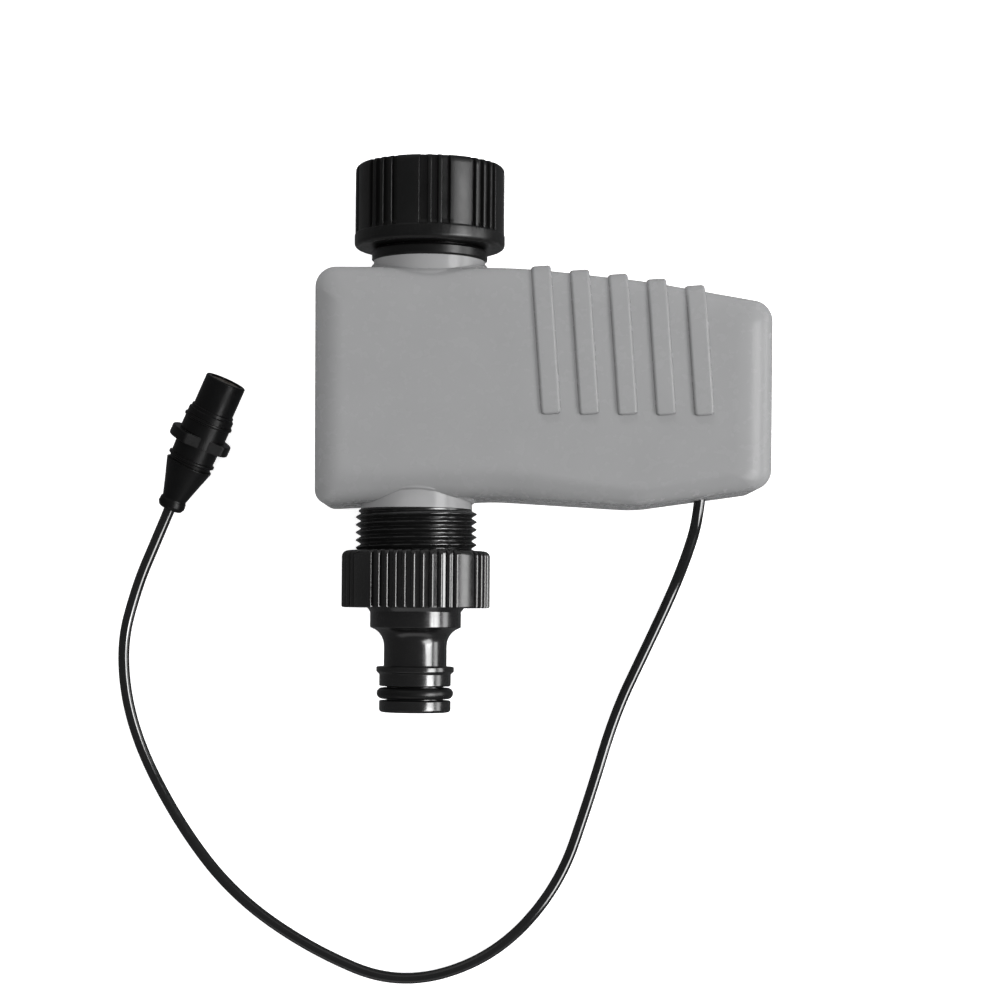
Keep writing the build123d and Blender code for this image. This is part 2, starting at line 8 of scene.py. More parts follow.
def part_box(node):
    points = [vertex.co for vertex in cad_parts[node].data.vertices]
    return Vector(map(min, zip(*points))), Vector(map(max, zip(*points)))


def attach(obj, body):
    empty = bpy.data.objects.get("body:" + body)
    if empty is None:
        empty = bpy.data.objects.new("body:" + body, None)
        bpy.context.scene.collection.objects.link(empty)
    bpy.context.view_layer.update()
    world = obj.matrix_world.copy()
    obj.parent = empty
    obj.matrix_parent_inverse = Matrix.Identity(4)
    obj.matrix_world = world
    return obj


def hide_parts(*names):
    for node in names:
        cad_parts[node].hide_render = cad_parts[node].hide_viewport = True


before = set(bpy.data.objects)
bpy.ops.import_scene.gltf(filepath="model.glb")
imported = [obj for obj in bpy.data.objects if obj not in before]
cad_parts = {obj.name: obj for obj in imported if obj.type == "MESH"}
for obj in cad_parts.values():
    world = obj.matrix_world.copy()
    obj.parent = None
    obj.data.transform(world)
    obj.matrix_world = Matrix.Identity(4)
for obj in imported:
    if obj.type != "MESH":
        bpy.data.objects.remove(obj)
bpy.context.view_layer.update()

# A motor-driven ball valve for a garden tap, lying on its back, with its lead and plug.
# +X runs to the motor, +Y to the inlet nut, +Z out of the front face.
# Shapes are given in millimetres and made in metres; angles are in degrees, and on the
# round parts they are measured about the pipe from the front (+Z) towards the motor (+X).

MM = 0.001
HOUSING = "valve_housing"
ROUND_SIDES = 96


# ---------------------------------------------------------------- camera and lead

def add_object(name, data):
    thing = bpy.data.objects.new(name, data)
    bpy.context.collection.objects.link(thing)
    return thing


CAMERA_PLACE = Vector((17.26, -50.1, 521.5))
CAMERA_ROLL = 0.5
CAMERA_LENS = 82.87
CAMERA_SHIFT = 0.12


def make_camera():
    """Looks straight down on the object."""
    data = bpy.data.cameras.new("camera")
    data.sensor_width = 36.0
    data.lens = CAMERA_LENS
    data.shift_y = CAMERA_SHIFT
    data.clip_start = 0.01
    camera = add_object("camera", data)
    camera.location = CAMERA_PLACE * MM
    camera.rotation_euler = (0, 0, math.radians(CAMERA_ROLL))
    bpy.context.scene.camera = camera


# The lead's route from inside the housing's grommet to the plug, resting on the floor.
LEAD_ROUTE = [
    (61.4, -21.8, 11.0),
    (61.0, -27.6, 10.0),
    (59.2, -34.8, 5.6),
    (56.0, -43.8, 1.9),
    (50.2, -56.5, 1.3),
    (43.4, -71.0, 1.3),
    (37.9, -90.0, 1.3),
    (31.0, -110.6, 1.3),
    (16.0, -126.8, 1.3),
    (-5.0, -133.0, 1.3),
    (-25.0, -124.8, 1.3),
    (-42.6, -112.6, 1.3),
    (-55.4, -96.0, 1.3),
    (-65.6, -76.0, 1.3),
    (-68.5, -57.5, 1.3),
    (-64.8, -43.0, 1.3),
    (-60.3, -32.4, 1.8),
    (-57.3, -25.6, 3.1),
]
LEAD_RADIUS = 1.25


def make_lead():
    data = bpy.data.curves.new("lead", "CURVE")
    data.dimensions = "3D"
    data.resolution_u = 12
    data.bevel_depth = LEAD_RADIUS * MM
    data.bevel_resolution = 6
    data.use_fill_caps = True
    spline = data.splines.new("NURBS")
    spline.points.add(len(LEAD_ROUTE) - 1)
    for point, place in zip(spline.points, LEAD_ROUTE):
        point.co = (*(Vector(place) * MM), 1.0)
    spline.order_u = 3
    spline.use_endpoint_u = True
    return add_object("lead", data)


make_camera()
lead = make_lead()


# ---------------------------------------------------------------- mesh helpers

def ring_mesh(name, rings, loop=False):
    """A closed surface through rings of equally many points, given in millimetres.
    With loop the last ring joins the first; without it both ends are capped."""
    count = len(rings[0])
    points = [Vector(point) * MM for ring in rings for point in ring]
    faces = []
    for row in range(len(rings) if loop else len(rings) - 1):
        here, there = row * count, (row + 1) % len(rings) * count
        for start in range(count):
            end = (start + 1) % count
            faces.append((here + start, here + end, there + end, there + start))
    if not loop:
        faces.append(tuple(reversed(range(count))))
        faces.append(tuple(range(len(points) - count, len(points))))
    mesh = bpy.data.meshes.new(name)
    mesh.from_pydata(points, [], faces)
    face_outwards(mesh)
    return add_object(name, mesh)


def face_outwards(mesh):
    work = bmesh.new()
    work.from_mesh(mesh)
    bmesh.ops.recalc_face_normals(work, faces=work.faces)
    work.to_mesh(mesh)
    work.free()


def combine(piece, tool, operation):
    """Cut the tool from the piece or add it, and drop the tool."""
    modifier = piece.modifiers.new(operation, "BOOLEAN")
    modifier.operation = operation
    modifier.solver = "EXACT"
    modifier.object = tool
    bpy.context.view_layer.update()
    depsgraph = bpy.context.evaluated_depsgraph_get()
    result = bpy.data.meshes.new_from_object(piece.evaluated_get(depsgraph))
    piece.modifiers.clear()
    piece.data = result
    bpy.data.objects.remove(tool)


def smooth(piece, sharp_angle=32):
    """Smooth shading with the flat faces kept flat and the real edges kept sharp."""
    piece.data.shade_smooth()
    piece.data.set_sharp_from_angle(angle=math.radians(sharp_angle))
    modifier = piece.modifiers.new("normals", "WEIGHTED_NORMAL")
    modifier.keep_sharp = True
    return piece


def merged(name, pieces):
    """Several separate closed meshes as one object."""
    work = bmesh.new()
    for piece in pieces:
        work.from_mesh(piece.data)
        bpy.data.objects.remove(piece)
    mesh = bpy.data.meshes.new(name)
    work.to_mesh(mesh)
    work.free()
    return add_object(name, mesh)


def rounded(corners, steps):
    """A closed outline from (u, v, radius) corners. Each corner becomes an arc."""
    outline = []
    count = len(corners)
    for index, (u, v, radius) in enumerate(corners):
        here = Vector((u, v))
        if radius <= 0:
            outline.append(here)
            continue
        back = (Vector(corners[index - 1][:2]) - here).normalized()
        on = (Vector(corners[(index + 1) % count][:2]) - here).normalized()
        half = back.angle(on) / 2
        centre = here + (back + on).normalized() * radius / math.sin(half)
        first = here + back * radius / math.tan(half) - centre
        last = here + on * radius / math.tan(half) - centre
        turn = first.angle_signed(last)
        for step in range(steps + 1):
            outline.append(centre + Matrix.Rotation(-turn * step / steps, 2) @ first)
    return outline


def pipe_point(radius, y, angle, x):
    turn = math.radians(angle)
    return (x + radius * math.sin(turn), y, PIPE_Z + radius * math.cos(turn))


def turned(name, profile, x, angles, relief):
    """Turned about the pipe. The profile runs round the section and closes. It holds
    (radius, y, share), where share times the relief at an angle is added to the radius there.
    In place of a share it may hold a function of y and the angle that says what is added."""
    rings = []
    for radius, y, share in profile:
        ring = []
        for angle in angles:
            extra = share(y, angle) if callable(share) else share * relief(angle)
            ring.append(pipe_point(radius + extra, y, angle, x))
        rings.append(ring)
    return ring_mesh(name, rings, loop=True)


def plain(points):
    """Profile points with no relief."""
    return [(radius, y, 0.0) for radius, y in points]


def rod(name, radius, start, end, sides=40):
    """A closed round bar between two points, used to bore holes and to raise bosses."""
    start, end = Vector(start), Vector(end)
    turn = (end - start).to_track_quat("Z", "Y")
    ring = [turn @ Vector((radius * math.cos(2 * math.pi * side / sides),
                           radius * math.sin(2 * math.pi * side / sides), 0)) for side in range(sides)]
    return ring_mesh(name, [[start + p for p in ring], [end + p for p in ring]])


# ---------------------------------------------------------------- materials

def node_material(name):
    material = bpy.data.materials.new(name)
    material.use_nodes = True
    nodes = material.node_tree.nodes
    return material, nodes, material.node_tree.links, nodes["Principled BSDF"]


def noise(nodes, links, scale, detail=3.0, stretch=None):
    """Noise in the object's own space; the scale is in features a metre."""
    place = nodes.new("ShaderNodeTexCoord")
    texture = nodes.new("ShaderNodeTexNoise")
    texture.inputs["Scale"].default_value = scale
    texture.inputs["Detail"].default_value = detail
    source = place.outputs["Object"]
    if stretch:
        mapping = nodes.new("ShaderNodeMapping")
        mapping.inputs["Scale"].default_value = stretch
        links.new(source, mapping.inputs["Vector"])
        source = mapping.outputs["Vector"]
    links.new(source, texture.inputs["Vector"])
    return texture.outputs["Fac"]


def between(nodes, links, factor, low, high):
    """Map a 0 to 1 factor to the range low to high."""
    ramp = nodes.new("ShaderNodeMapRange")
    ramp.inputs["From Min"].default_value = 0.3
    ramp.inputs["From Max"].default_value = 0.7
    ramp.inputs["To Min"].default_value = low
    ramp.inputs["To Max"].default_value = high
    links.new(factor, ramp.inputs["Value"])
    return ramp.outputs["Result"]


def tint(nodes, links, factor, low, high):
    """Blend two colours by a noise factor."""
    mix = nodes.new("ShaderNodeMix")
    mix.data_type = "RGBA"
    mix.inputs["A"].default_value = (*low, 1)
    mix.inputs["B"].default_value = (*high, 1)
    links.new(between(nodes, links, factor, 0, 1), mix.inputs["Factor"])
    return mix.outputs["Result"]


def shade(colour, factor):
    return tuple(channel * factor for channel in colour)


def add_bump(nodes, links, shader, heights):
    """Stack bumps from (factor, depth in millimetres) pairs."""
    normal = None
    for factor, depth in heights:
        bump = nodes.new("ShaderNodeBump")
        bump.inputs["Strength"].default_value = 1.0
        bump.inputs["Distance"].default_value = depth * MM
        links.new(factor, bump.inputs["Height"])
        if normal:
            links.new(normal, bump.inputs["Normal"])
        normal = bump.outputs["Normal"]
    links.new(normal, shader.inputs["Normal"])


def plastic(name, colour, rough=(0.25, 0.35), variation=0.04,
            grain=(1800, 0.004), waves=(60, 0.02), specular=0.5):
    """Moulded plastic: slow colour drift, fine grain and the faint waviness of a moulded skin.
    Grain and waves are each (features a metre, depth in millimetres)."""
    material, nodes, links, shader = node_material(name)
    drift = noise(nodes, links, 90, 4)
    links.new(tint(nodes, links, drift, shade(colour, 1 - variation), shade(colour, 1 + variation)),
              shader.inputs["Base Color"])
    fine = noise(nodes, links, grain[0], 2)
    links.new(between(nodes, links, noise(nodes, links, 400, 5), *rough), shader.inputs["Roughness"])
    add_bump(nodes, links, shader, [(noise(nodes, links, waves[0], 1), waves[1]), (fine, grain[1])])
    shader.inputs["Specular IOR Level"].default_value = specular
    return material


def metal(name, colour, rough=(0.22, 0.38), grain=(40, 1, 1), depth=0.003):
    """Drawn or turned metal, with fine lines across the stretched direction."""
    material, nodes, links, shader = node_material(name)
    lines = noise(nodes, links, 900, 3, grain)
    links.new(tint(nodes, links, lines, shade(colour, 0.85), colour), shader.inputs["Base Color"])
    links.new(between(nodes, links, lines, *rough), shader.inputs["Roughness"])
    add_bump(nodes, links, shader, [(lines, depth)])
    shader.inputs["Metallic"].default_value = 1.0
    return material


MATERIALS = {
    "shell": plastic("shell", (0.232, 0.233, 0.235), (0.22, 0.3), 0.02, (1200, 0.0004), (30, 0.008), 0.13),
    "neck": plastic("neck", (0.25, 0.25, 0.252), (0.2, 0.26), 0.02, (1200, 0.0004), (60, 0.006), 0.2),
    "black_plastic": plastic("black_plastic", (0.004, 0.004, 0.004), (0.28, 0.38), 0.2,
                             (1500, 0.006), (120, 0.01), 0.34),
    "black_gloss": plastic("black_gloss", (0.005, 0.005, 0.005), (0.17, 0.24), 0.2,
                           (900, 0.003), (90, 0.03), 0.85),
    "ring_rubber": plastic("ring_rubber", (0.004, 0.004, 0.004), (0.26, 0.36), 0.2,
                           (2200, 0.004), (200, 0.01), 0.35),
    "seal_rubber": plastic("seal_rubber", (0.012, 0.012, 0.012), (0.42, 0.55), 0.2,
                           (2200, 0.006), (200, 0.01)),
    "lead_jacket": plastic("lead_jacket", (0.005, 0.005, 0.0051), (0.1, 0.16), 0.2,
                           (1800, 0.002), (150, 0.006), 0.95),
    "plug_plastic": plastic("plug_plastic", (0.003, 0.003, 0.0031), (0.3, 0.42), 0.2,
                            (1500, 0.008), (150, 0.02), 0.2),
    # The plug insert's face: a dark plastic given a lighter tone, painted light for the light that reaches
    # into its shaded recess.
    "plug_face_painted_light": plastic("plug_face_painted_light", (0.04, 0.035, 0.03), (0.4, 0.5), 0.15),
    "seat_plastic": plastic("seat_plastic", (0.8, 0.8, 0.77), (0.4, 0.5), 0.02),
    "gear_plastic": plastic("gear_plastic", (0.78, 0.76, 0.68), (0.38, 0.48), 0.03),
    "switch_plastic": plastic("switch_plastic", (0.02, 0.02, 0.022), (0.4, 0.52), 0.1),
    "wire": plastic("wire", (0.42, 0.02, 0.02), (0.35, 0.45), 0.1),
    "screw_steel": metal("screw_steel", (0.55, 0.55, 0.56)),
    "filter_steel": metal("filter_steel", (0.5, 0.5, 0.49), (0.3, 0.45)),
    "ball_steel": metal("ball_steel", (0.72, 0.72, 0.72), (0.08, 0.16), (1, 1, 1), 0.001),
    "plate_steel": metal("plate_steel", (0.55, 0.56, 0.57), (0.3, 0.42), (1, 30, 1)),
    "brass": metal("brass", (0.72, 0.52, 0.22), (0.2, 0.34)),
}


def board_material():
    """Green solder mask over fine copper tracks."""
    material, nodes, links, shader = node_material("board")
    place = nodes.new("ShaderNodeTexCoord")
    tracks = nodes.new("ShaderNodeTexBrick")
    tracks.inputs["Scale"].default_value = 260
    tracks.inputs["Mortar Size"].default_value = 0.03
    tracks.inputs["Color1"].default_value = (0.008, 0.075, 0.022, 1)
    tracks.inputs["Color2"].default_value = (0.010, 0.085, 0.026, 1)
    tracks.inputs["Mortar"].default_value = (0.03, 0.16, 0.05, 1)
    links.new(place.outputs["Object"], tracks.inputs["Vector"])
    links.new(tracks.outputs["Color"], shader.inputs["Base Color"])
    links.new(between(nodes, links, noise(nodes, links, 500), 0.25, 0.4), shader.inputs["Roughness"])
    add_bump(nodes, links, shader, [(tracks.outputs["Fac"], 0.02)])
    return material


MATERIALS["board"] = board_material()


def dress(piece, material, body=HOUSING, stands_for=()):
    """Give a new piece its material and its body, and hide the CAD nodes it stands for."""
    piece.data.materials.clear()
    piece.data.materials.append(MATERIALS[material])
    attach(piece, body)
    if stands_for:
        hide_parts(*stands_for)
    return piece


# ---------------------------------------------------------------- places from the frame

def centre_and_half(node):
    low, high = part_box(node)
    return (low + high) / 2 / MM, (high - low) / 2 / MM


nut_centre, nut_half = centre_and_half("inlet_nut")
thread_centre, thread_half = centre_and_half("outlet_thread")
adapter_half = centre_and_half("hose_adapter")[1]
back_low, back_high = (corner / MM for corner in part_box("housing_back"))
PIPE_Z = nut_centre.z
INLET_X = nut_centre.x
OUTLET_X = thread_centre.x
PARTING_Z = back_high.z
FACE_Z = 32.5


# ---------------------------------------------------------------- housing

LEFT, RIGHT = back_low.x, back_high.x
TOP, BOTTOM = 25.2, -25.6
WALL = 2.2
# The outline of the side walls and that of the front face's flat part: (x, y, corner radius)
SIDE_OUTLINE = [
    (LEFT, TOP, 4.4), (22.0, TOP, 120.0), (48.0, 22.6, 150.0), (RIGHT, 18.2, 4.4),
    (RIGHT, -21.2, 4.4), (47.0, -25.3, 35.0), (16.0, -23.6, 60.0), (LEFT, BOTTOM, 3.0),
]
FACE_OUTLINE = [
    (LEFT + 6.4, TOP - 7.3, 1.8), (22.0, TOP - 7.3, 120.0), (48.0, 16.2, 150.0), (RIGHT - 8.6, 12.8, 1.8),
    (RIGHT - 8.6, -17.8, 1.8), (48.0, -21.8, 35.0), (17.0, -17.0, 60.0), (LEFT + 6.4, BOTTOM + 8.0, 1.8),
]
# How deep the front rounding goes, and how much less at the motor's end and the upper edge
FACE_DEPTH = 7.2
MOTOR_END_RISE = 2.2
UPPER_EDGE_RISE = 3.6
BACK_ROUNDING = 3.0
PARTING_GROOVE = 0.12
PARTING_GAP = 0.02
ROUNDING_STEPS = 14
CORNER_STEPS = 10
SMALLEST_CORNER = 0.6
BOSS_RADIUS = 2.4
SCREW_RECESS_RADIUS = 1.9
SCREW_RECESS_DEPTH = 8.0
SCREW_HOLE_RADIUS = 1.2
SCREW_HOLE_LOW, SCREW_HOLE_HIGH = 7.0, 19.0
GLAND_HOLE_RADIUS = 2.3
# Where the six screws are, and the radius of the openings round both necks
BOSSES = [(-17.8, 20.2), (-17.8, -20.2), (15.2, 19.6), (16.0, -18.6), (69.9, 12.0), (69.9, -13.4)]
NECK_HOLE = 12.3


def inset(corners, distance):
    """The outline's corners moved inwards, with their radii kept in step."""
    moved = []
    count = len(corners)
    for index, (u, v, radius) in enumerate(corners):
        here = Vector((u, v))
        along_in = (here - Vector(corners[index - 1][:2])).normalized()
        along_out = (Vector(corners[(index + 1) % count][:2]) - here).normalized()
        normal_in = Vector((along_in.y, -along_in.x))
        normal_out = Vector((along_out.y, -along_out.x))
        place = here + (normal_in + normal_out) * distance / (1 + normal_in.dot(normal_out))
        moved.append((place.x, place.y, max(radius - distance, SMALLEST_CORNER)))
    return moved


def side_ring(distance):
    """The side outline moved inwards."""
    return rounded(inset(SIDE_OUTLINE, distance), CORNER_STEPS)


def level(outline, z):
    return [(p[0], p[1], z) for p in outline]


def eased(value, start, end):
    """0 before the start and 1 past the end, with a smooth climb between them."""
    share = min(1.0, max(0.0, (value - start) / (end - start)))
    return share * share * (3 - 2 * share)


def rounding_depth(x, y):
    """The front rounding is shallower at the motor's end and along the upper edge."""
    return FACE_DEPTH - max(MOTOR_END_RISE * eased(x, 58.0, 72.0), UPPER_EDGE_RISE * eased(y, 8.0, 24.0))


def front_rings():
    """From the parting plane up the wall, over the rounding and onto the front face."""
    side = rounded(SIDE_OUTLINE, CORNER_STEPS)
    face = rounded(FACE_OUTLINE, CORNER_STEPS)
    rings = [level(side_ring(PARTING_GROOVE), PARTING_Z), level(side, PARTING_Z + PARTING_GROOVE)]
    for step in range(ROUNDING_STEPS + 1):
        angle = math.pi / 2 * step / ROUNDING_STEPS
        ring = []
        for outer, inner in zip(side, face):
            depth = min(rounding_depth(outer.x, outer.y), (inner - outer).length)
            place = outer + (inner - outer) * (1 - math.cos(angle))
            ring.append((place.x, place.y, FACE_Z - depth * (1 - math.sin(angle))))
        rings.append(ring)
    return rings


def back_rings():
    """From the parting plane down the wall and round to the flat back."""
    rings = [level(side_ring(PARTING_GROOVE), PARTING_Z),
             level(side_ring(0.0), PARTING_Z - PARTING_GROOVE)]
    for step in range(ROUNDING_STEPS + 1):
        angle = math.pi / 2 * step / ROUNDING_STEPS
        shrink = BACK_ROUNDING * (1 - math.cos(angle))
        rings.append(level(side_ring(shrink), BACK_ROUNDING * (1 - math.sin(angle))))
    return rings


def inner_rings(far_z, rounding):
    """The hollow side of a shell, from its innermost face back to the parting plane."""
    step_z = rounding if far_z > PARTING_Z else -rounding
    return [level(side_ring(WALL + rounding), far_z),
            level(side_ring(WALL), far_z - step_z),
            level(side_ring(WALL), PARTING_Z)]


def shell_mesh(name, outer, inner):
    """A hollow shell. Its first ring closes the outer face and its last the hollow side."""
    return ring_mesh(name, outer[::-1] + inner[::-1])


def neck_bores():
    return [rod("bore", NECK_HOLE, (INLET_X, 18, PIPE_Z), (INLET_X, 40, PIPE_Z), ROUND_SIDES),
            rod("bore", NECK_HOLE, (OUTLET_X, -40, PIPE_Z), (OUTLET_X, -18, PIPE_Z), ROUND_SIDES)]


def neck_lip(x, outward, front_y, side_rise, chamfer):
    """A thin collar that the housing raises round a neck. At the front its end lies nearer the
    middle of the housing than at the sides and the back."""
    rings = []
    for side in range(ROUND_SIDES):
        angle = 360 * side / ROUND_SIDES
        turn = math.radians(angle)
        rise = side_rise if math.cos(turn) < 0 else side_rise * math.sin(turn) ** 2
        section = rounded([
            (NECK_HOLE - 0.05, front_y - 7.0, 0), (NECK_HOLE + 0.8, front_y - 7.0, 0),
            (NECK_HOLE + 0.7, front_y - 2.0, 6.0), (NECK_HOLE + 0.45, front_y + rise, 0.2),
            (NECK_HOLE - 0.05, front_y + rise + chamfer, 0.1)], 4)
        rings.append([pipe_point(p.x, outward * p.y, angle, x) for p in section])
    return ring_mesh("lip", rings, loop=True)


def neck_lips():
    return [neck_lip(INLET_X, 1, 24.1, 2.5, 0.8), neck_lip(OUTLET_X, -1, 22.0, 2.5, 0.5)]


RIB_COUNT = 5
RIB_FIRST_X = 27.75
RIB_PITCH = 8.15
RIB_LOW_Y = -6.3
RIB_WIDTH = 4.3
RIB_SLANT = math.tan(math.radians(4.4))
RIB_PROUD = 0.9
RIB_SHOULDER = 0.75
RIB_ROOT = 0.5
RIB_FLAT_STEPS = 12
RIB_BEND_STEPS = 16
RIB_WALL_STEPS = 3


def edge_height(outline, x):
    """The upper edge of an outline at this x."""
    best = -100.0
    for first, second in zip(outline, outline[1:] + outline[:1]):
        low, high = sorted((first.x, second.x))
        if low <= x <= high and high - low > 1e-6:
            share = (x - first.x) / (second.x - first.x)
            best = max(best, first.y + (second.y - first.y) * share)
    return best


def rib_path(low_x):
    """(point on the skin, outward normal) along a rib, from its low end to the parting plane."""
    top_x = low_x - RIB_SLANT * (TOP - RIB_LOW_Y)
    flat_end = edge_height(rounded(FACE_OUTLINE, CORNER_STEPS), top_x)
    wall_y = edge_height(rounded(SIDE_OUTLINE, CORNER_STEPS), top_x)
    reach = wall_y - flat_end
    depth = rounding_depth(top_x, wall_y)
    path = []

    def add(y, z, normal):
        path.append((Vector((low_x - RIB_SLANT * (y - RIB_LOW_Y), y, z)), Vector(normal)))

    for step in range(RIB_FLAT_STEPS + 1):
        add(RIB_LOW_Y + (flat_end - RIB_LOW_Y) * step / RIB_FLAT_STEPS, FACE_Z, (0, 0, 1))
    for step in range(1, RIB_BEND_STEPS + 1):
        angle = math.pi / 2 * (1 - step / RIB_BEND_STEPS)
        normal = Vector((0, math.cos(angle) / reach, math.sin(angle) / depth)).normalized()
        add(flat_end + reach * math.cos(angle), FACE_Z - depth * (1 - math.sin(angle)), normal)
    for step in range(1, RIB_WALL_STEPS + 1):
        z = FACE_Z - depth
        add(wall_y, z + (PARTING_Z + 0.3 - z) * step / RIB_WALL_STEPS, (0, 1, 0))
    return path


def rib_section(point, outward, side, width, height):
    """A rib's cross-section, from one root over both round shoulders to the other root."""
    ring = [point - side * width - outward * RIB_ROOT]
    for hand, steps in ((-1, range(5)), (1, range(4, -1, -1))):
        for step in steps:
            turn = math.pi / 2 * step / 4
            across = width - RIB_SHOULDER * (1 - math.cos(turn))
            ring.append(point + side * (hand * across)
                        + outward * (height - RIB_SHOULDER + RIB_SHOULDER * math.sin(turn)))
    ring.append(point + side * width - outward * RIB_ROOT)
    return ring


def grip_rib(index):
    """A raised bar: its section is flat with round shoulders, and its low end is rounded off."""
    path = rib_path(RIB_FIRST_X + RIB_PITCH * index)
    start, normal = path[0]
    ahead = (path[1][0] - start).normalized()
    sections = []
    for turn in (0, 0.35, 0.75, 1.15):
        point = start + ahead * (RIB_SHOULDER * (1 - math.cos(turn)))
        sections.append((point, normal, RIB_SHOULDER * (1 - math.sin(turn))))
    sections += [(point, outward, 0.0) for point, outward in path[1:]]
    rings = []
    for point, outward, cut in sections:
        lean = ahead if outward.z > 0.99 else Vector((-RIB_SLANT, 1, 0)).normalized()
        side = lean.cross(Vector((0, 0, 1))).normalized()
        rings.append(rib_section(point, outward, side, RIB_WIDTH / 2 - cut * 0.9, RIB_PROUD - cut * 0.9))
    return ring_mesh("rib", rings)


def bosses(low_z, high_z):
    """The screw bosses of one shell, as one tool."""
    rods = [rod("boss", BOSS_RADIUS, (x, y, low_z), (x, y, high_z)) for x, y in BOSSES]
    return merged("raised", rods)


def half_space(low_z, high_z):
    """A disc wide enough to trim a whole shell between two heights."""
    return rod("half", 90.0, (30, 0, low_z), (30, 0, high_z), 8)


def make_front():
    front = shell_mesh("shell_front", front_rings(), inner_rings(FACE_Z - WALL, 3.0))
    combine(front, bosses(PARTING_Z, FACE_Z - WALL + 0.3), "UNION")
    combine(front, merged("ribs", [grip_rib(index) for index in range(RIB_COUNT)]), "UNION")
    combine(front, merged("lips", neck_lips()), "UNION")
    combine(front, half_space(PARTING_Z - 40, PARTING_Z - PARTING_GAP), "DIFFERENCE")
    combine(front, merged("bores", neck_bores()), "DIFFERENCE")
    dress(smooth(front), "shell", stands_for=["housing_front"])


def make_back():
    back = shell_mesh("shell_back", back_rings(), inner_rings(WALL, 2.0))
    combine(back, bosses(WALL - 0.3, PARTING_Z), "UNION")
    combine(back, merged("lips", neck_lips()), "UNION")
    combine(back, half_space(PARTING_Z + PARTING_GAP, PARTING_Z + 40), "DIFFERENCE")
    combine(back, merged("bores", neck_bores()), "DIFFERENCE")
    holes = [rod("recess", SCREW_RECESS_RADIUS, (x, y, -1), (x, y, SCREW_RECESS_DEPTH), 32)
             for x, y in BOSSES]
    gland_x, _, gland_z = LEAD_ROUTE[0]
    holes.append(rod("gland", GLAND_HOLE_RADIUS, (gland_x, -30, gland_z), (gland_x, -15, gland_z)))
    combine(back, merged("holes", holes), "DIFFERENCE")
    holes = [rod("bore", SCREW_HOLE_RADIUS, (x, y, SCREW_HOLE_LOW), (x, y, SCREW_HOLE_HIGH), 24)
             for x, y in BOSSES]
    combine(back, merged("holes", holes), "DIFFERENCE")
    dress(smooth(back), "shell", stands_for=["housing_back"])


make_front()
make_back()


# ---------------------------------------------------------------- swivel nut

def bar_angles(bars, widest_shoulder):
    """Angles that catch the shape of each bar. A bar is given as (centre, half width)."""
    angles = set()
    for centre, half in bars:
        shoulder = min(widest_shoulder, 0.85 * half)
        for side in (-1, 1):
            for share in (-0.2, 0.0, 0.07, 0.2, 0.4, 0.65, 1.0):
                angles.add(round((centre + side * (half - shoulder * share)) % 360, 3))
        inner = half - shoulder
        steps = max(1, int(inner / 2.5))
        for step in range(1, 2 * steps):
            angles.add(round((centre - inner + inner * step / steps) % 360, 3))
    return sorted(angles)


def bar_relief(bars, widest_shoulder):
    """How far a bar stands out at an angle, from 0 in a flute to 1 on top of the bar."""
    def relief(angle):
        for centre, half in bars:
            shoulder = min(widest_shoulder, 0.85 * half)
            inside = half - abs((angle - centre + 180) % 360 - 180)
            if inside > 0:
                share = min(1.0, inside / shoulder)
                return math.sqrt(1 - (1 - share) ** 2)
        return 0.0
    return relief


# Where the smooth panels of the nut's grip are, and half the width of a panel and of a rib
NUT_PANELS = [-61.0, -15.4, 26.0, 70.7, 116.0, 161.0, 206.0, 252.0]
NUT_PANEL_HALF = 9.4
NUT_RIB_HALF = 1.9
NUT_RIB_PITCH = 8.0
NUT_WIDE_GAP = 43.0
NUT_SHOULDER = 0.9
NUT_BORE = 11.0
NUT_THREAD_RADIUS = 12.75
NUT_THREAD_HEIGHT = 0.69
NUT_THREAD_ROWS = 56
THREAD_PITCH = 1.67


def nut_bars():
    """Smooth panels with two or three ribs in each gap between them, as the gap allows. Each
    is given as (centre, half width)."""
    bars = []
    for index, centre in enumerate(NUT_PANELS):
        following = NUT_PANELS[(index + 1) % len(NUT_PANELS)]
        gap = (following - centre) % 360
        ribs = 3 if gap > NUT_WIDE_GAP else 2
        bars.append((centre, NUT_PANEL_HALF))
        for rib in range(ribs):
            bars.append((centre + gap / 2 + (rib - (ribs - 1) / 2) * NUT_RIB_PITCH, NUT_RIB_HALF))
    return bars


def crest(turns):
    """Height of a V thread, 0 at its root and 1 at its crest, with narrow flats on both."""
    share = turns % 1
    return min(1.0, max(0.0, (0.5 - abs(share - 0.5)) * 2.5 - 0.12))


def nut_helix(y, angle):
    """How far the nut's thread reaches into the bore, as a change of radius."""
    return -NUT_THREAD_HEIGHT * crest(y / THREAD_PITCH - angle / 360)


